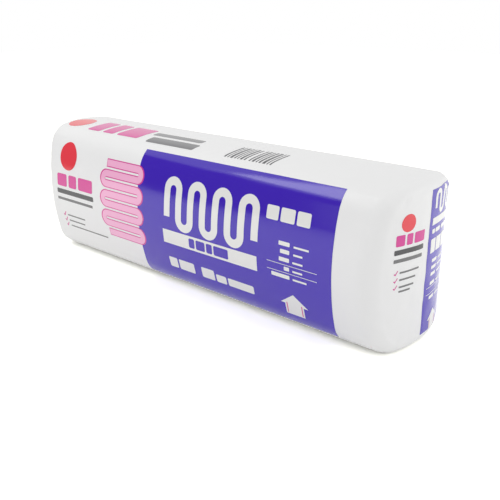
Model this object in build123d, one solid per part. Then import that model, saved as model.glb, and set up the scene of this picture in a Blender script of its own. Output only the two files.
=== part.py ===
from build123d import *
import os

# A sealed film bag of folded fiberglass batts, lying on its long side on a level floor.
# Lengths in millimetres. +X runs along the bag to the printed end, -Y is the printed front,
# +Z is up, and the origin is under the middle of the bag at floor level.

# The batts as they are sold, before they are packed
batt_count = 11
batt_width = 381.0
batt_length = 2362.0

# A batt is folded in half and stands on edge, so the bag is as high as a batt is wide,
# and as long as half a batt with a little loose film beyond each end of the row.
bag_height = batt_width
bag_depth = 329.0
end_room = 16.3

# How far the packed fibre pushes the film out of flat, as the radius of each face
side_crown_radius = 459.0
top_crown_radius = 540.0
end_crown_radius = 296.0

# Rounding where two faces meet
top_corner_radius = 81.0
bottom_corner_radius = 76.0
printed_end_radius = 28.0
sealed_end_radius = 18.0

# The film, drawn thicker than its real tenth of a millimetre
film_wall = 0.6
film_to_batt_gap = 0.5

# The batts inside the bag
batt_to_batt_gap = 0.6
layer_slit = 0.6
fold_corner_radius = 10.0

# The welded fin that closes the unprinted end, laid flat against the film
fin_height = 34.0
fin_thickness = 1.2
fin_side_margin = 40.0

folded_length = batt_length / 2
body_length = folded_length + 2 * (end_room + film_wall)
bag_length = body_length + fin_thickness
body_center = Pos(fin_thickness / 2, 0, 0)


def bag_section(inset):
    """The bag cut across its length, pulled in by inset all round."""
    half_depth = bag_depth / 2
    side_radius = side_crown_radius - inset
    front = Pos(side_crown_radius - half_depth, bag_height / 2) * Circle(side_radius)
    back = Pos(half_depth - side_crown_radius, bag_height / 2) * Circle(side_radius)
    top = Pos(0, bag_height - top_crown_radius) * Circle(top_crown_radius - inset)
    floor_cut = Pos(0, bag_height / 2) * Rectangle(bag_depth, bag_height - 2 * inset)
    outline = front & back & top & floor_cut
    corners = outline.vertices().sort_by(Axis.Y)
    outline = fillet(corners[:2], bottom_corner_radius - inset)
    corners = outline.vertices().sort_by(Axis.Y)
    return fillet(corners[-2:], top_corner_radius - inset)


def bag_plan(inset):
    """The bag seen from above, wider than the bag itself, with both ends bowed out."""
    return SlotOverall(body_length - 2 * inset, 2 * (end_crown_radius - inset))


def bag_body(inset):
    """The whole bag as one solid, with the rims of both ends rounded."""
    along = extrude(Plane.YZ * bag_section(inset), body_length / 2, both=True)
    body = along & extrude(bag_plan(inset), bag_height)
    rims = [edge for edge in body.edges() if abs(edge.tangent_at(0.5).X) < 0.9]
    body = fillet([rim for rim in rims if rim.center().X > 0], printed_end_radius - inset)
    rims = [edge for edge in body.edges() if abs(edge.tangent_at(0.5).X) < 0.9]
    return fillet([rim for rim in rims if rim.center().X < 0], sealed_end_radius - inset)


def seal_fin():
    """The flat strip of welded film across the unprinted end."""
    band = bag_plan(-fin_thickness) - bag_plan(film_wall / 2)
    width = bag_depth - 2 * fin_side_margin
    window = Pos(-bag_length / 2, 0) * Rectangle(bag_length, width)
    strip = extrude(band & window, fin_height)
    return Pos(0, 0, (bag_height - fin_height) / 2) * strip


def film_bag():
    """The closed film skin, with the fin fused to the end that it seals."""
    skin = bag_body(0) - bag_body(film_wall)
    return body_center * (skin + seal_fin())


def batt_plan(length, thickness):
    """One folded batt from above: two layers side by side, joined by the fold."""
    layers = Rectangle(length, thickness)
    fold_corners = layers.vertices().sort_by(Axis.X)[-2:]
    layers = fillet(fold_corners, fold_corner_radius)
    fold_thickness = (thickness - layer_slit) / 2
    slit = Pos(-fold_thickness, 0) * Rectangle(length, layer_slit)
    return layers - slit


def batt(index, inset):
    """One folded batt on edge, its corners rounded as the film presses them."""
    pitch = (bag_depth - 2 * inset + batt_to_batt_gap) / batt_count
    thickness = pitch - batt_to_batt_gap
    middle = (index - (batt_count - 1) / 2) * pitch
    far_side = abs(middle) + thickness / 2
    bow = end_crown_radius - (end_crown_radius**2 - far_side**2) ** 0.5
    length = folded_length - 2 * bow
    upright = extrude(batt_plan(length, thickness), bag_height)
    side_view = RectangleRounded(length, bag_height - 2 * inset, printed_end_radius)
    side_view = Pos(0, 0, bag_height / 2) * (Plane.XZ * side_view)
    return Pos(0, middle, 0) * (upright & extrude(side_view, thickness, both=True))


def batts():
    """All the folded batts in a row, shaped above and at the sides by the bag."""
    inset = film_wall + film_to_batt_gap
    room = extrude(Plane.YZ * bag_section(inset), body_length / 2, both=True)
    row = [(batt(i, inset) & room).solid() for i in range(batt_count)]
    return body_center * Compound(children=row)


os.makedirs("parts", exist_ok=True)
export_step(film_bag(), "parts/film_bag.step")
export_step(batts(), "parts/batts.step")
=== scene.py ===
import bpy
import bmesh
import math
from mathutils import Matrix, Vector, noise
from mathutils.bvhtree import BVHTree


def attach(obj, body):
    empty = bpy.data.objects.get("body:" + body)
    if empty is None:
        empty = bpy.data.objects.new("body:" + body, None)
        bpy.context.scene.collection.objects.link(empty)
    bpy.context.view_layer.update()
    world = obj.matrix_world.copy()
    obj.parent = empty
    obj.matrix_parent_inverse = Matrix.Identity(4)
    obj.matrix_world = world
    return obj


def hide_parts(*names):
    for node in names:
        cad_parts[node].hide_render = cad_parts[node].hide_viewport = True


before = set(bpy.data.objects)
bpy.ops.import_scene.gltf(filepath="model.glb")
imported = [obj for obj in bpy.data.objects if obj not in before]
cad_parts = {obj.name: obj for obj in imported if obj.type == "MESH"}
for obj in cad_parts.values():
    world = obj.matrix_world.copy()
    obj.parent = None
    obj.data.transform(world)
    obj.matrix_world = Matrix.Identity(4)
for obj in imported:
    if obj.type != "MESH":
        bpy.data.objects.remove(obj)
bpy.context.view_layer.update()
scene = bpy.context.scene
print("loaded the packed bag")


# a shader socket that takes part in sums, so that a pattern is written as an expression
class Wire:
    def __init__(self, tree, socket):
        self.tree = tree
        self.socket = socket

    def node(self, kind, settings=None, **inputs):
        made = self.tree.nodes.new(kind)
        for key, value in (settings or {}).items():
            if key == "stops":
                ramp = made.color_ramp
                while len(ramp.elements) < len(value):
                    ramp.elements.new(0.5)
                for element, (place, colour) in zip(ramp.elements, value):
                    element.position = place
                    element.color = colour
            else:
                setattr(made, key, value)
        for key, value in inputs.items():
            if key[0] == "i" and key[1:].isdigit():      # i0 is the first socket, and so on
                place = made.inputs[int(key[1:])]
            else:
                place = made.inputs[key]
            if isinstance(value, Wire):
                value.into(place)
            else:
                place.default_value = value
        return made

    def out(self, kind, output=0, settings=None, **inputs):
        return Wire(self.tree, self.node(kind, settings, **inputs).outputs[output])

    def into(self, socket):
        self.tree.links.new(self.socket, socket)

    def intoSurface(self):
        self.into(self.tree.nodes["Material Output"].inputs["Surface"])

    def maths(self, operation, first, second):
        return self.out("ShaderNodeMath", 0, {"operation": operation}, i0=first, i1=second)

    def __add__(self, other):
        return self.maths("ADD", self, other)

    def __radd__(self, other):
        return self.maths("ADD", other, self)

    def __sub__(self, other):
        return self.maths("SUBTRACT", self, other)

    def __rsub__(self, other):
        return self.maths("SUBTRACT", other, self)

    def __mul__(self, other):
        return self.maths("MULTIPLY", self, other)

    def __rmul__(self, other):
        return self.maths("MULTIPLY", other, self)


def startMaterial(name):
    material = bpy.data.materials.new(name)
    material.use_nodes = True
    tree = material.node_tree
    shader = tree.nodes["Principled BSDF"]
    place = tree.nodes.new("ShaderNodeTexCoord").outputs["Object"]
    return material, shader, Wire(tree, place)


# a colour as a paint program gives it, 0 to 255, for a shader
def linear(red, green, blue):
    def one(value):
        value = value / 255
        return value / 12.92 if value <= 0.04045 else ((value + 0.055) / 1.055) ** 2.4
    return (one(red), one(green), one(blue), 1.0)


# the polyethylene film, clear gloss over white pigment, and the inks printed on it
filmFinish = {
    "white": linear(235, 235, 235),
    "bare": 0.46, "printed": 0.13,      # roughness of the film and of the ink
    "cloud": 0.015, "cloudScale": 9.0,      # broad patches a little darker
    "grainScale": 130.0, "spread": 0.08,      # how far the roughness wanders
    "drawScale": (6.0, 40.0, 40.0),      # ripples drawn out along the bag
    "ripple": 0.05, "drawn": 0.7, "grain": 0.12, "depth": 0.004,
}


def filmMaterial(name, colour, roughness, cloud, ripple):
    material, shader, place = startMaterial(name)
    finish = filmFinish
    broad = place.out("ShaderNodeTexNoise", Vector=place, Scale=finish["cloudScale"], Detail=3.0)
    fine = place.out("ShaderNodeTexNoise", Vector=place, Scale=finish["grainScale"], Detail=4.0)
    stretched = place.out("ShaderNodeMapping", Vector=place, Scale=finish["drawScale"])
    drawn = place.out("ShaderNodeTexNoise", Vector=stretched, Scale=1.0, Detail=3.0)
    darker = tuple(value * (1 - 2 * cloud) for value in colour[:3]) + (1.0,)
    tint = place.out("ShaderNodeMix", 2, {"data_type": "RGBA"}, Factor=broad, i6=darker, i7=colour)
    tint.into(shader.inputs["Base Color"])
    rough = roughness + (fine - 0.5) * finish["spread"] + (broad - 0.5) * finish["spread"]
    rough.into(shader.inputs["Roughness"])
    height = drawn * finish["drawn"] + fine * finish["grain"]
    bump = place.out("ShaderNodeBump", Height=height, Strength=ripple, Distance=finish["depth"])
    bump.into(shader.inputs["Normal"])
    return material


# the bag's form as the packed fibre leaves it, in metres
bag = {
    "length": 1.2148, "shift": 0.0006, "depth": 0.329, "height": 0.381,
    "sideCrown": 0.459, "topCrown": 0.540, "endCrown": 0.296,
    "topCorner": 0.081, "bottomCorner": 0.076,
    "printedRim": 0.028, "sealedRim": 0.018,
    "sealedFoot": 0.046, "footFrom": 0.075, "footTo": 0.005,      # the wider rim by the floor
    "sealedBow": 0.20, "sealedSwell": 0.0042,
    "around": 320, "along": 104, "rimRings": 14, "capRings": 40, "merge": 0.00005,
}


# where two circles meet, on the right of the way from the first to the second
def meetCircles(firstCentre, firstRadius, secondCentre, secondRadius):
    span = secondCentre - firstCentre
    reach = span.length
    along = (firstRadius ** 2 - secondRadius ** 2 + reach ** 2) / (2 * reach)
    off = math.sqrt(firstRadius ** 2 - along ** 2)
    across = Vector((span.y, -span.x)) / reach
    return firstCentre + span / reach * along + across * off


# the front half of the outline, as arcs from the middle of the top to the middle of the floor:
# centre, radius, first and last angle, and for the flat floor no radius but its two ends
def outlineArcs():
    middle = bag["height"] / 2
    sideCentre = Vector((bag["sideCrown"] - bag["depth"] / 2, middle))
    topCentre = Vector((0.0, bag["height"] - bag["topCrown"]))
    topCorner = meetCircles(sideCentre, bag["sideCrown"] - bag["topCorner"],
                            topCentre, bag["topCrown"] - bag["topCorner"])
    low = bag["bottomCorner"]
    reach = bag["sideCrown"] - low
    lowCorner = Vector((sideCentre.x - math.sqrt(reach ** 2 - (middle - low) ** 2), low))

    def turnTo(corner, centre):
        return math.atan2(corner.y - centre.y, corner.x - centre.x) % (2 * math.pi)

    topTurn = turnTo(topCorner, topCentre)
    sideTop = turnTo(topCorner, sideCentre)
    sideLow = turnTo(lowCorner, sideCentre)
    return [
        (topCentre, bag["topCrown"], math.pi / 2, topTurn),
        (topCorner, bag["topCorner"], topTurn, sideTop),
        (sideCentre, bag["sideCrown"], sideTop, sideLow),
        (lowCorner, low, sideLow, 1.5 * math.pi),
        (lowCorner, None, lowCorner.x, 0.0),
    ]


arcs = outlineArcs()
arcLengths = [abs(last - first) * (radius or 1.0) for centre, radius, first, last in arcs]
halfRound = sum(arcLengths)
floorStart = halfRound - arcLengths[-1]
print("half way round the bag is %.3f m" % halfRound)


# a point of the outline and its outward direction, by the distance round from the top's middle:
# positive goes down the front, negative down the back
def outlineAt(distance, inset=0.0):
    left = min(abs(distance), halfRound)
    for (centre, radius, first, last), length in zip(arcs, arcLengths):
        if left <= length or radius is None:
            turn = first + (last - first) * left / length
            break
        left -= length
    if radius is None:
        point = Vector((turn, inset))
        outward = Vector((0.0, -1.0))
    else:
        outward = Vector((math.cos(turn), math.sin(turn)))
        point = centre + outward * (radius - inset)
    if distance < 0:
        point.x = -point.x
        outward.x = -outward.x
    return point, outward


def smooth(low, high, value):      # low may be the higher of the two
    value = min(max((value - low) / (high - low), 0.0), 1.0)
    return value * value * (3 - 2 * value)


# how far the film of an end lies inside its foremost point: bowed across at both ends, and at
# the sealed end a little from top to bottom as well
def endFall(side, flat):
    fall = bag["endCrown"] - math.sqrt(bag["endCrown"] ** 2 - flat.x ** 2)
    if side < 0:
        fall += bag["sealedBow"] * (flat.y - bag["height"] / 2) ** 2 - bag["sealedSwell"]
    return fall


# the rounding of an end's rim; the sealed end lifts off the floor with a wide one
def rimAt(side, distance):
    if side > 0:
        return bag["printedRim"]
    share = smooth(floorStart - bag["footFrom"], floorStart + bag["footTo"], abs(distance))
    return bag["sealedRim"] + (bag["sealedFoot"] - bag["sealedRim"]) * share


# how the stretched film departs from that form: broad swells, lengthways drag lines, finer
# ones near the ends, and upright ones that the weld gathers
stretch = {
    "slack": 0.0011,      # how far the film wanders between the batts behind it
    # share of the slack, how often it repeats along, across and up, and its shift
    "swell": (0.75, (7.0, 7.0, 7.0), (3.1, 1.7, 0.4)),
    "drag": (0.35, (3.0, 26.0, 26.0), (0.0, 0.0, 0.0)),
    "pull": (0.90, (9.0, 34.0, 34.0), (0.0, 5.0, 9.0)),
    "gather": (1.00, (0.0, 75.0, 5.0), (4.0, 0.0, 0.0)),
    "pullSpan": (0.42, 0.60),      # from nothing to full, by the distance from the middle
    "gatherSpan": (-0.56, -0.59), "gatherHeight": (0.10, 0.02),
    # the batts stop short of the ends, so only there may a fold go in
    "sink": 0.0002, "endSink": 0.0030, "endSpan": (0.014, 0.004),
    "footSpan": (0.0, 0.010),      # the floor presses the underside flat
    "foldReach": 1.6, "foldTaper": 2.0,      # where a fold is left out, and how fast it dies away
}

# folds that gather where a corner of the bag pulls the film three ways
cornerFolds = [
    # middle of the fold, its direction, half length, half width, rise (negative goes in)
    ((0.537, -0.1255, 0.3520), (0.99, 0.07, -0.08), 0.052, 0.0080, 0.0014),
    ((0.594, -0.0900, 0.3460), (-0.20, -0.71, -0.67), 0.018, 0.0055, -0.0032),
    ((0.602, -0.0560, 0.3550), (0.19, 0.93, 0.31), 0.045, 0.0075, -0.0016),
    ((0.590, 0.1000, 0.3450), (-0.20, 0.71, -0.67), 0.020, 0.0045, 0.0024),
    ((0.600, 0.0640, 0.3560), (0.19, -0.93, 0.31), 0.040, 0.0065, -0.0022),
    ((0.530, 0.1255, 0.3520), (0.99, -0.07, -0.08), 0.060, 0.0080, 0.0014),
    ((0.586, -0.1050, 0.0400), (-0.25, -0.70, 0.66), 0.022, 0.0050, 0.0016),
    ((0.586, 0.1050, 0.0400), (-0.25, 0.70, 0.66), 0.022, 0.0050, 0.0016),
    ((-0.583, -0.1180, 0.3260), (-0.15, 0.42, -0.90), 0.050, 0.0055, 0.0026),
    ((-0.583, 0.1180, 0.3260), (-0.15, -0.42, -0.90), 0.050, 0.0055, 0.0026),
    ((-0.590, -0.1020, 0.2600), (-0.10, 0.10, -0.99), 0.050, 0.0050, 0.0020),
    ((-0.590, 0.1020, 0.2600), (-0.10, -0.10, -0.99), 0.050, 0.0050, 0.0020),
    ((-0.583, -0.1150, 0.0620), (-0.15, 0.42, 0.90), 0.050, 0.0055, 0.0024),
    ((-0.583, 0.1150, 0.0620), (-0.15, -0.42, 0.90), 0.050, 0.0055, 0.0024),
    ((-0.590, -0.1060, 0.1250), (-0.10, 0.08, 0.99), 0.045, 0.0050, 0.0018),
    ((-0.590, 0.1060, 0.1250), (-0.10, -0.08, 0.99), 0.045, 0.0050, 0.0018),
    ((-0.540, -0.1240, 0.3500), (0.99, -0.10, 0.06), 0.050, 0.0080, 0.0014),
    ((-0.540, 0.1240, 0.3500), (0.99, 0.10, 0.06), 0.050, 0.0080, 0.0014),
]


def wander(name, point):
    share, scales, shift = stretch[name]
    return stretch["slack"] * share * noise.noise(Vector(scales) * point + Vector(shift))


# how far the film stands out from the form at a point
def relief(point):
    height = wander("swell", point) + wander("drag", point)
    height += wander("pull", point) * smooth(*stretch["pullSpan"], abs(point.x))
    nearWeld = smooth(*stretch["gatherHeight"], abs(point.z - bag["height"] / 2))
    height += wander("gather", point) * nearWeld * smooth(*stretch["gatherSpan"], point.x)
    for middle, direction, halfLength, halfWidth, rise in cornerFolds:
        offset = point - Vector(middle)
        if offset.length > halfLength * stretch["foldReach"]:
            continue
        axis = Vector(direction).normalized()
        lengthways = offset.dot(axis)
        sideways = (offset - axis * lengthways).length
        away = (sideways / halfWidth) ** 2 + stretch["foldTaper"] * (lengthways / halfLength) ** 2
        height += rise * math.exp(-away)
    fromEnd = bag["length"] / 2 - endFall(1, point.yz) - abs(point.x)
    deepest = -stretch["sink"] - stretch["endSink"] * smooth(*stretch["endSpan"], fromEnd)
    return max(height, deepest) * smooth(*stretch["footSpan"], point.z)


# a point on the film: share says how far along the bag it is, and back what is taken off its
# half length there
def filmPoint(share, side, back, flat, normal):
    reach = bag["length"] / 2 - endFall(side, flat) - back
    point = Vector((share * reach + bag["shift"], flat.x, flat.y))
    return point + normal * relief(point)


def onBody(distance, share):
    flat, outward = outlineAt(distance)
    side = 1 if share > 0 else -1
    normal = Vector((0.0, outward.x, outward.y))
    return filmPoint(share, side, rimAt(side, distance), flat, normal)


def onRim(distance, side, turn):
    rim = rimAt(side, distance)
    flat, outward = outlineAt(distance, rim * (1 - math.cos(turn)))
    outward = outward * math.cos(turn)
    normal = Vector((side * math.sin(turn), outward.x, outward.y)).normalized()
    return filmPoint(side, side, rim * (1 - math.sin(turn)), flat, normal)


def onCap(distance, side, share):
    edge = outlineAt(distance, rimAt(side, distance))[0]
    middle = Vector((0.0, bag["height"] / 2))
    flat = middle + (edge - middle) * share
    return filmPoint(side, side, 0.0, flat, Vector((side, 0.0, 0.0)))


def keepPiece(name, bm, material):
    bm.normal_update()
    mesh = bpy.data.meshes.new(name)
    bm.to_mesh(mesh)
    bm.free()
    mesh.shade_smooth()
    piece = bpy.data.objects.new(name, mesh)
    scene.collection.objects.link(piece)
    mesh.materials.append(material)
    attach(piece, "root")
    return piece


# extrudes a closed ring of vertices, and gives the new ones in the order of the old
def growRing(bm, ring):
    old = set(ring)
    near = dict.fromkeys(edge for vert in ring for edge in vert.link_edges)
    edges = [edge for edge in near if all(vert in old for vert in edge.verts)]
    out = bmesh.ops.extrude_edge_only(bm, edges=edges)["geom"]
    new = {item for item in out if isinstance(item, bmesh.types.BMVert)}
    return [next(edge.other_vert(vert) for edge in vert.link_edges if edge.other_vert(vert) in new)
            for vert in ring]


def buildFilm():
    count = bag["around"]
    distances = [halfRound * (2 * i / count - 1) for i in range(count)]
    bm = bmesh.new()

    def place(ring, spot, *where):
        for vert, distance in zip(ring, distances):
            vert.co = spot(distance, *where)

    # the first ring's radius doesn't matter, because it is placed like the rest
    first = bmesh.ops.create_circle(bm, segments=count, radius=0.1, cap_ends=False)["verts"]
    place(first, onBody, -1.0)
    last = first
    for i in range(1, bag["along"] + 1):
        last = growRing(bm, last)
        place(last, onBody, math.sin(math.pi * (i / bag["along"] - 0.5)))
    for side, ring in ((1, last), (-1, first)):
        for i in range(1, bag["rimRings"] + 1):
            ring = growRing(bm, ring)
            place(ring, onRim, side, math.pi / 2 * i / bag["rimRings"])
        for i in range(1, bag["capRings"] + 1):
            ring = growRing(bm, ring)
            place(ring, onCap, side, 1 - i / bag["capRings"])
    bmesh.ops.remove_doubles(bm, verts=bm.verts, dist=bag["merge"])
    bmesh.ops.recalc_face_normals(bm, faces=bm.faces)
    white = filmMaterial("whiteFilm", filmFinish["white"], filmFinish["bare"],
                         filmFinish["cloud"], filmFinish["ripple"])
    film = keepPiece("film_skin", bm, white)
    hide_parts("film_bag")
    return film


film = buildFilm()
print("film laid over the batts: %d faces" % len(film.data.polygons))

skin = bmesh.new()
skin.from_mesh(film.data)
filmTree = BVHTree.FromBMesh(skin)
skin.free()

# what is printed on the film: flat shapes cut fine, then laid on the film from one side. Each
# side has where a flat place starts, well outside the bag, and which way it goes to the film
sides = {
    "front": (lambda u, v: Vector((u, -1.0, v)), Vector((0, 1, 0))),
    "top": (lambda u, v: Vector((u, v, 1.0)), Vector((0, 0, -1))),
    "end": (lambda u, v: Vector((1.5, u, v)), Vector((-1, 0, 0))),
    "sealed": (lambda u, v: Vector((-1.5, u, v)), Vector((1, 0, 0))),
}

printing = {
    "coats": (0.0003, 0.0005, 0.0007),      # how far the coats of ink stand off the film
    "cut": 0.006, "cutTouch": 0.00001, "merge": 0.00002,
    "cornerSteps": 5, "discSteps": 48, "turnSteps": 14,
    "thinLow": 0.0005, "rowCorners": (0.002, 0.001),
}


def bar(bm, low, high, rounding=0.0):
    made = bmesh.ops.create_grid(bm, x_segments=1, y_segments=1, size=0.5)["verts"]
    width, tall = high[0] - low[0], high[1] - low[1]
    middle = ((low[0] + high[0]) / 2, (low[1] + high[1]) / 2, 0)
    bmesh.ops.scale(bm, vec=(width, tall, 1), verts=made)
    bmesh.ops.translate(bm, vec=middle, verts=made)
    if rounding:
        bmesh.ops.bevel(bm, geom=made, offset=rounding, offset_type="OFFSET", affect="VERTICES",
                        segments=printing["cornerSteps"], profile=0.5, material=-1)


def barGroup(bm, group):
    rounding, places = group
    for low, high in places:
        bar(bm, low, high, rounding)


# a row of a table: a block and a thinner one beside it, each with where it starts and ends
def tableRow(bm, low, block, thin, tall):
    blockCorner, thinCorner = printing["rowCorners"]
    bar(bm, (block[0], low), (block[1], low + tall[0]), blockCorner)
    bar(bm, (thin[0], low + printing["thinLow"]), (thin[1], low + tall[1]), thinCorner)


def disc(bm, middle, radius):
    made = bmesh.ops.create_circle(bm, segments=printing["discSteps"], radius=radius,
                                   cap_ends=True)["verts"]
    bmesh.ops.translate(bm, vec=(middle[0], middle[1], 0), verts=made)


def outline(bm, points):
    bm.faces.new([bm.verts.new((u, v, 0)) for u, v in points])


# a ribbon that runs back and forth, as a folded batt does from the side
def ribbon(bm, start, width, run, pitch, turns, upright):
    across = Vector((1, 0, 0)) if upright else Vector((0, 1, 0))
    ahead = Vector((0, 1, 0)) if upright else Vector((1, 0, 0))
    first = Vector((start[0], start[1], 0))
    geom = [bm.edges.new([bm.verts.new(first), bm.verts.new(first + ahead * width)])]
    way = 1
    for i in range(turns + 1):
        out = bmesh.ops.extrude_edge_only(bm, edges=geom)["geom"]
        verts = [item for item in out if isinstance(item, bmesh.types.BMVert)]
        bmesh.ops.translate(bm, vec=across * run * way, verts=verts)
        geom = [item for item in out if isinstance(item, bmesh.types.BMEdge)]
        if i == turns:
            break
        middle = sum((vert.co for vert in verts), Vector()) / 2 + ahead * pitch / 2
        turn = math.pi * way * (1 if upright else -1)
        spun = bmesh.ops.spin(bm, geom=geom, cent=middle, axis=(0, 0, 1), angle=turn,
                              steps=printing["turnSteps"], use_duplicate=False)["geom_last"]
        geom = [item for item in spun if isinstance(item, bmesh.types.BMEdge)]
        way = -way


# corners of a tick, as shares of its size
tickShape = [(0.0, 0.35), (0.16, 0.50), (0.34, 0.28), (0.84, 1.0), (1.0, 0.90), (0.38, 0.0)]


def tick(bm, u, v, size):
    outline(bm, [(u + size * across, v + size * up) for across, up in tickShape])


# an upright arrow, as shares of its width and height
arrow = {
    "shape": [(-0.34, 0.0), (0.34, 0.0), (0.34, 0.50), (0.50, 0.50), (0.0, 1.0), (-0.50, 0.50),
              (-0.34, 0.50)],
    "line": 0.27, "lineHalf": 0.018, "lineLow": 0.06, "lineHigh": 0.56,
}


def arrowUp(bm, middle, low, wide, tall):
    outline(bm, [(middle + wide * across, low + tall * up) for across, up in arrow["shape"]])


def arrowSides(bm, middle, low, wide, tall):
    half = wide * arrow["lineHalf"]
    for side in (-1, 1):
        line = middle + side * wide * arrow["line"]
        bar(bm, (line - half, low + tall * arrow["lineLow"]),
            (line + half, low + tall * arrow["lineHigh"]))


# cuts a flat shape into strips both ways, so that it can follow the film
def cutFine(bm, step):
    for axis in (0, 1):
        low = min(vert.co[axis] for vert in bm.verts)
        high = max(vert.co[axis] for vert in bm.verts)
        normal = Vector((1, 0, 0)) if axis == 0 else Vector((0, 1, 0))
        place = math.ceil(low / step) * step
        while place < high:
            geom = bm.verts[:] + bm.edges[:] + bm.faces[:]
            bmesh.ops.bisect_plane(bm, geom=geom, plane_co=normal * place, plane_no=normal,
                                   dist=printing["cutTouch"])
            place += step
    bmesh.ops.remove_doubles(bm, verts=bm.verts, dist=printing["merge"])


def lay(name, bm, side, material, lift, step=printing["cut"]):
    bm.normal_update()
    manySided = [face for face in bm.faces if len(face.verts) > 4]
    bmesh.ops.triangulate(bm, faces=manySided, ngon_method="EAR_CLIP")
    cutFine(bm, step)
    start, along = sides[side]
    for vert in bm.verts:
        hit, normal = filmTree.ray_cast(start(vert.co.x, vert.co.y), along)[:2]
        vert.co = hit + normal * lift
    bm.normal_update()
    for face in bm.faces:
        if face.normal.dot(along) > 0:
            face.normal_flip()
    return keepPiece(name, bm, material)


inkColours = {
    "purple": linear(65, 38, 179), "red": linear(231, 66, 78), "magenta": linear(214, 62, 150),
    "palePink": linear(243, 178, 212), "grey": linear(112, 112, 114), "dark": linear(70, 70, 74),
    "white": linear(232, 232, 229),
}
inks = {name: filmMaterial(name + "Ink", colour, filmFinish["printed"], filmFinish["cloud"],
                           filmFinish["ripple"])
        for name, colour in inkColours.items()}


def layInk(name, bm, side, ink, coat=0, step=printing["cut"]):
    lay(name, bm, side, inks[ink], printing["coats"][coat], step)


def bars(name, side, ink, group, coat=0):
    bm = bmesh.new()
    barGroup(bm, group)
    layInk(name, bm, side, ink, coat)


# the column of a disc, blocks, ticks and lines that the front and the end share
def printColumn(side, marks):
    bm = bmesh.new()
    disc(bm, *marks["dot"])
    layInk(side + "_dot", bm, side, "red")
    bars(side + "_title", side, "magenta", marks["title"])
    bm = bmesh.new()
    for u, v in marks["ticks"]:
        tick(bm, u, v, marks["tickSize"])
    layInk(side + "_ticks", bm, side, "magenta")
    bars(side + "_subtitle", side, "dark", marks["subtitle"])
    bars(side + "_notes", side, "grey", marks["notes"])


# a group of bars has how far its corners are rounded, and the low and high corner of each bar
frontPrint = {
    "panel": (0.0, [((-0.150, 0.021), (0.473, 0.358))]),
    "dot": ((-0.467, 0.299), 0.040),
    "title": (0.006, [((-0.519, 0.209), (-0.472, 0.246)), ((-0.463, 0.209), (-0.425, 0.246)),
                      ((-0.416, 0.209), (-0.349, 0.246))]),
    "subtitle": (0.003, [((-0.522, 0.186), (-0.346, 0.200))]),
    "notes": (0.001, [((-0.523, 0.166), (-0.352, 0.174)), ((-0.488, 0.118), (-0.402, 0.122)),
                      ((-0.486, 0.101), (-0.408, 0.105)), ((-0.484, 0.084), (-0.305, 0.088))]),
    "ticks": [(-0.510, 0.114), (-0.508, 0.097), (-0.508, 0.080)], "tickSize": 0.016,
    # each ribbon: start, width, run, pitch, turns, and whether it climbs
    "foldsEdge": ((-0.287, 0.1005), 0.0225, 0.134, 0.028, 7, True),
    "folds": ((-0.285, 0.1030), 0.0175, 0.130, 0.028, 7, True),
    "wave": ((-0.046, 0.208), 0.021, 0.072, 0.042, 7, False),
    "label": ((-0.053, 0.135), (0.266, 0.172)),
    "labelWord": (0.004, [((0.042, 0.141), (0.062, 0.166)), ((0.067, 0.141), (0.098, 0.166)),
                          ((0.103, 0.141), (0.123, 0.166)), ((0.128, 0.141), (0.176, 0.166))]),
    "blocks": (0.004, [((-0.045, 0.066), (-0.014, 0.095)), ((-0.008, 0.066), (0.048, 0.095)),
                       ((0.074, 0.066), (0.118, 0.095)), ((0.124, 0.066), (0.158, 0.088)),
                       ((0.164, 0.066), (0.247, 0.088)), ((0.289, 0.268), (0.323, 0.299)),
                       ((0.329, 0.268), (0.368, 0.299)), ((0.374, 0.268), (0.410, 0.299))]),
    # each row of the table: its foot, where its block starts, and both ends of the thin one
    "rows": [(0.2165, 0.330, 0.372, 0.413), (0.1985, 0.335, 0.372, 0.397),
             (0.1800, 0.332, 0.370, 0.398), (0.1590, 0.346, 0.370, 0.397),
             (0.1390, 0.309, 0.370, 0.408)],
    "blockEnd": 0.361, "rowTall": (0.0095, 0.0050),
    "rules": (0.0, [((0.297, 0.1720), (0.436, 0.1733)), ((0.297, 0.1530), (0.436, 0.1543))]),
    "arrow": (0.367, 0.047, 0.078, 0.055),
}


def printFront():
    bars("front_panel", "front", "purple", frontPrint["panel"])
    printColumn("front", frontPrint)
    bm = bmesh.new()
    ribbon(bm, *frontPrint["foldsEdge"])
    layInk("front_ribbon_edge", bm, "front", "magenta")
    bm = bmesh.new()
    ribbon(bm, *frontPrint["folds"])
    layInk("front_ribbon", bm, "front", "palePink", 1)
    bm = bmesh.new()
    ribbon(bm, *frontPrint["wave"])
    bar(bm, *frontPrint["label"])
    barGroup(bm, frontPrint["blocks"])
    for low, blockStart, thinStart, thinEnd in frontPrint["rows"]:
        tableRow(bm, low, (blockStart, frontPrint["blockEnd"]), (thinStart, thinEnd),
                 frontPrint["rowTall"])
    barGroup(bm, frontPrint["rules"])
    arrowUp(bm, *frontPrint["arrow"])
    layInk("front_marks", bm, "front", "white", 1)
    bars("front_label_word", "front", "purple", frontPrint["labelWord"], 2)
    bm = bmesh.new()
    arrowSides(bm, *frontPrint["arrow"])
    layInk("front_arrow_sides", bm, "front", "magenta", 2)


topPrint = {
    "dot": ((-0.532, -0.046), 0.042),
    "title": (0.008, [((-0.450, -0.091), (-0.393, -0.008)), ((-0.379, -0.091), (-0.330, -0.008)),
                      ((-0.316, -0.091), (-0.226, -0.008))]),
    "words": (0.006, [((-0.186, -0.097), (-0.006, -0.064)), ((-0.208, -0.050), (-0.022, -0.026))]),
    "stripes": ((0.104, -0.097), (0.250, -0.023)),
    # stripes of mixed widths that encode nothing, where 0 leaves one out
    "widths": [5, 3, 7, 4, 3, 6, 4, 0, 4, 6, 3, 5, 7, 3, 4], "stripeGap": 5,
}


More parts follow.
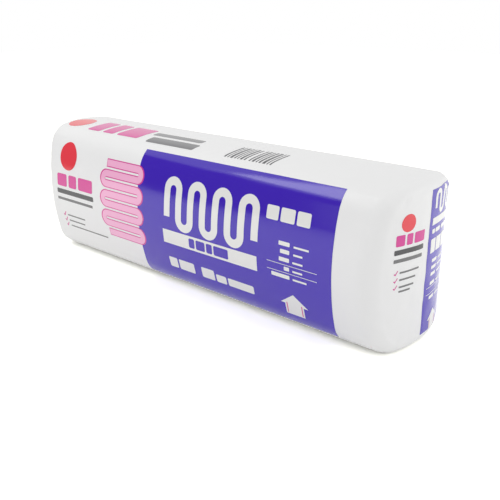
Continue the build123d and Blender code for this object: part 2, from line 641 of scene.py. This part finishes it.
def printTop():
    bm = bmesh.new()
    disc(bm, *topPrint["dot"])
    layInk("top_dot", bm, "top", "red")
    bars("top_title", "top", "magenta", topPrint["title"])
    bars("top_words", "top", "grey", topPrint["words"])
    low, high = topPrint["stripes"]
    widths, gap = topPrint["widths"], topPrint["stripeGap"]
    unit = (high[0] - low[0]) / (sum(widths) + gap * (len(widths) - 1))
    stripes = []
    left = low[0]
    for width in widths:
        if width:
            stripes.append(((left, low[1]), (left + width * unit, high[1])))
        left += (width + gap) * unit
    bars("top_stripes", "top", "dark", (0.0, stripes))


endPrint = {
    "panelLow": 0.026, "panelHigh": 0.357, "panelLeft": -0.008, "panelInset": 0.008,
    "panelGrid": (30, 60),
    "dot": ((-0.079, 0.301), 0.019),
    "title": (0.003, [((-0.108, 0.254), (-0.086, 0.278)), ((-0.081, 0.254), (-0.064, 0.278)),
                      ((-0.059, 0.254), (-0.027, 0.278))]),
    "subtitle": (0.002, [((-0.111, 0.236), (-0.028, 0.247))]),
    "notes": (0.001, [((-0.111, 0.219), (-0.031, 0.227)), ((-0.094, 0.194), (-0.038, 0.198)),
                      ((-0.094, 0.178), (-0.048, 0.182)), ((-0.094, 0.162), (-0.052, 0.166)),
                      ((-0.094, 0.152), (-0.062, 0.156))]),
    "ticks": [(-0.109, 0.191), (-0.109, 0.175), (-0.109, 0.159)], "tickSize": 0.011,
    "wave": ((0.010, 0.313), 0.010, 0.026, 0.021, 5, False),
    "label": ((0.004, 0.277), (0.128, 0.293)),
    "blocks": (0.003, [((0.006, 0.258), (0.020, 0.268)), ((0.023, 0.258), (0.048, 0.268)),
                       ((0.056, 0.258), (0.104, 0.268)), ((0.004, 0.214), (0.028, 0.246)),
                       ((0.032, 0.214), (0.060, 0.246)), ((0.064, 0.214), (0.090, 0.246))]),
    "rows": (0.190, 0.174, 0.158, 0.1365, 0.103),
    "block": (0.018, 0.044), "thin": (0.052, 0.090), "rowTall": (0.0080, 0.0045),
    "rules": (0.0, [((0.002, 0.1320), (0.100, 0.1333)), ((0.002, 0.1160), (0.100, 0.1173))]),
    "arrow": (0.050, 0.026, 0.056, 0.046),
}


# half the bag's depth at a height, found by halving the way round
def halfWidthAt(height):
    low, high = 0.0, halfRound
    for i in range(40):
        middle = (low + high) / 2
        if outlineAt(middle)[0].y > height:
            low = middle
        else:
            high = middle
    return abs(outlineAt(low)[0].x)


def printEnd():
    bm = bmesh.new()
    columns, rows = endPrint["panelGrid"]
    bmesh.ops.create_grid(bm, x_segments=columns, y_segments=rows, size=0.5)
    left, low = endPrint["panelLeft"], endPrint["panelLow"]
    for vert in bm.verts:      # the panel's far edge follows the rim of the end
        height = low + (vert.co.y + 0.5) * (endPrint["panelHigh"] - low)
        far = halfWidthAt(height) - endPrint["panelInset"]
        vert.co = (left + (vert.co.x + 0.5) * (far - left), height, 0)
    layInk("end_panel", bm, "end", "purple", 0, 1.0)      # its grid is fine enough uncut
    printColumn("end", endPrint)
    bm = bmesh.new()
    ribbon(bm, *endPrint["wave"])
    bar(bm, *endPrint["label"])
    barGroup(bm, endPrint["blocks"])
    for low in endPrint["rows"]:
        tableRow(bm, low, endPrint["block"], endPrint["thin"], endPrint["rowTall"])
    barGroup(bm, endPrint["rules"])
    arrowUp(bm, *endPrint["arrow"])
    layInk("end_marks", bm, "end", "white", 1)
    bm = bmesh.new()
    arrowSides(bm, *endPrint["arrow"])
    layInk("end_arrow_sides", bm, "end", "magenta", 2)


printFront()
printTop()
printEnd()
print("print laid on the front, the top and the end")

# the welded fin across the unprinted end, with the crimp of the sealing bar
seal = {
    "low": (-0.1245, 0.1735), "high": (0.1245, 0.2075), "corner": 0.004, "lift": 0.0003,
    "thickness": 0.0012, "colour": linear(229, 229, 229), "roughness": 0.36, "cloud": 0.02,
    "ripple": 0.15,
    "crimps": 7, "crimpStart": 0.35, "crimpShare": 0.35, "crimpMargin": 0.004,
    "crimpLift": 0.0016, "crimpThickness": 0.0004,
}


def thicken(piece, thickness):
    thick = piece.modifiers.new("thickness", "SOLIDIFY")
    thick.thickness = thickness
    thick.offset = 1.0


def buildSeal():
    bm = bmesh.new()
    bar(bm, seal["low"], seal["high"], seal["corner"])
    welded = filmMaterial("weldedFilm", seal["colour"], seal["roughness"], seal["cloud"],
                          seal["ripple"])
    thicken(lay("seal_fin", bm, "sealed", welded, seal["lift"]), seal["thickness"])
    bm = bmesh.new()
    pitch = (seal["high"][1] - seal["low"][1]) / seal["crimps"]
    left, right = seal["low"][0] + seal["crimpMargin"], seal["high"][0] - seal["crimpMargin"]
    for i in range(seal["crimps"]):
        low = seal["low"][1] + pitch * (i + seal["crimpStart"])
        bar(bm, (left, low), (right, low + pitch * seal["crimpShare"]))
    crimps = lay("seal_crimps", bm, "sealed", inks["white"], seal["crimpLift"])
    thicken(crimps, seal["crimpThickness"])


buildSeal()
print("end welded shut")

# the batts, hidden inside: pink glass wool
wool = {
    "stops": [(0.3, linear(226, 150, 160)), (0.7, linear(245, 190, 196))],
    "tuftScale": 60.0, "roughness": 0.95, "bump": 0.8, "depth": 0.004,
}


def woolMaterial():
    material, shader, place = startMaterial("glassWool")
    tuft = place.out("ShaderNodeTexNoise", Vector=place, Scale=wool["tuftScale"], Detail=6.0)
    ramp = place.out("ShaderNodeValToRGB", 0, {"stops": wool["stops"]}, Fac=tuft)
    ramp.into(shader.inputs["Base Color"])
    shader.inputs["Roughness"].default_value = wool["roughness"]
    bump = place.out("ShaderNodeBump", Height=tuft, Strength=wool["bump"], Distance=wool["depth"])
    bump.into(shader.inputs["Normal"])
    return material


glassWool = woolMaterial()
for slot in bpy.data.objects["batts"].material_slots:
    slot.material = glassWool
print("batts given glass wool")

# the floor, the light and the camera
studio = {
    "floorHalf": 9.0, "floor": 0.88, "floorSeen": 0.70, "floorWarm": 0.08,
    "world": 0.76,
    "wallAway": 6.0, "wallHigh": 4.5, "wallTurns": (-95, -178), "wallSteps": 24, "wallGrey": 0.03,
    "aim": (0, 0, 0.19),
    # each lamp: place, size and power
    "lamps": {
        "softbox": ((-1.15, -1.35, 2.75), (1.2, 1.4), 20.0),
        "frontFill": ((-0.4, -3.4, 1.0), (2.6, 1.6), 6.5),
        "endFill": ((3.2, 0.4, 1.1), (1.6, 1.6), 11.0),
        "sideFill": ((2.7, 2.1, 1.15), (1.9, 1.9), 9.0),
    },
}


def keepStage(name, bm, material):
    mesh = bpy.data.meshes.new(name)
    bm.to_mesh(mesh)
    bm.free()
    holder = bpy.data.objects.new(name, mesh)
    scene.collection.objects.link(holder)
    mesh.materials.append(material)
    return holder


# 1 where the camera sees something, straight or by gloss or through glass, and otherwise 0
def seenRays(wire):
    rays = wire.node("ShaderNodeLightPath").outputs
    names = ("Is Camera Ray", "Is Glossy Ray", "Is Transmission Ray")
    camera, glossy, through = [Wire(wire.tree, rays[name]) for name in names]
    return wire.maths("MINIMUM", camera + glossy + through, 1.0)


def buildFloor():
    bm = bmesh.new()
    bmesh.ops.create_grid(bm, x_segments=1, y_segments=1, size=studio["floorHalf"])
    material, shader, place = startMaterial("floorWhite")
    seen = seenRays(place)
    level = studio["floor"] + seen * studio["floorSeen"]
    blue = studio["floor"] + seen * (studio["floorSeen"] - studio["floorWarm"])
    white = place.out("ShaderNodeCombineColor", Red=level, Green=level, Blue=blue)
    place.out("ShaderNodeBsdfDiffuse", Color=white).intoSurface()
    floor = keepStage("floor", bm, material)


def lightWorld():
    world = bpy.data.worlds.new("studioWorld")
    scene.world = world
    world.use_nodes = True
    tree = world.node_tree
    back = tree.nodes["Background"]
    seen = seenRays(Wire(tree, back.outputs[0]))
    level = studio["world"] + seen * (1.0 - studio["world"])
    level.into(back.inputs["Strength"])
    back.inputs["Color"].default_value = (1, 1, 1, 1)


# the dim room behind the camera, seen only in the gloss of the film
def buildRoom():
    bm = bmesh.new()
    low, high = studio["wallTurns"]
    foot = Matrix.Rotation(math.radians(low), 4, "Z") @ Vector((studio["wallAway"], 0, 0))
    head = foot + Vector((0, 0, studio["wallHigh"]))
    rise = bm.edges.new([bm.verts.new(foot), bm.verts.new(head)])
    bmesh.ops.spin(bm, geom=[rise], cent=(0, 0, 0), axis=(0, 0, 1),
                   angle=math.radians(high - low), steps=studio["wallSteps"], use_duplicate=False)
    material, shader, place = startMaterial("cardBlack")
    grey = studio["wallGrey"]
    shader.inputs["Base Color"].default_value = (grey, grey, grey, 1)
    shader.inputs["Roughness"].default_value = 1.0
    glossy = place.out("ShaderNodeLightPath", "Is Glossy Ray")
    clear = place.out("ShaderNodeBsdfTransparent")
    black = Wire(place.tree, shader.outputs[0])
    place.out("ShaderNodeMixShader", i0=glossy, i1=clear, i2=black).intoSurface()
    card = keepStage("card", bm, material)


def placeLamps():
    for name, (place, size, power) in studio["lamps"].items():
        light = bpy.data.lights.new(name, "AREA")
        light.shape = "RECTANGLE"
        light.size, light.size_y = size
        light.energy = power
        holder = bpy.data.objects.new(name, light)
        holder.location = place
        aim = Vector(studio["aim"]) - Vector(place)
        holder.rotation_euler = aim.to_track_quat("-Z", "Y").to_euler()
        scene.collection.objects.link(holder)


# where the camera stands and which way it is turned, as fitted to the photo
view = {
    "place": (1.2032, -1.2546, 0.7138), "lens": 48.33, "sensor": 36,
    "right": (0.7522, 0.6589, -0.0025), "up": (-0.2246, 0.2600, 0.9391),
    "forward": (-0.6194, 0.7059, -0.3435),
}


def placeCamera():
    camera = bpy.data.cameras.new("camera")
    camera.sensor_width = view["sensor"]
    camera.lens = view["lens"]
    holder = bpy.data.objects.new("camera", camera)
    scene.collection.objects.link(holder)
    axes = (Vector(view["right"]), Vector(view["up"]), -Vector(view["forward"]))
    turn = Matrix(axes).transposed().to_4x4()
    holder.matrix_world = Matrix.Translation(view["place"]) @ turn
    scene.camera = holder


buildFloor()
lightWorld()
buildRoom()
placeLamps()
placeCamera()
scene.view_settings.view_transform = "Standard"
print("floor, light and camera set")
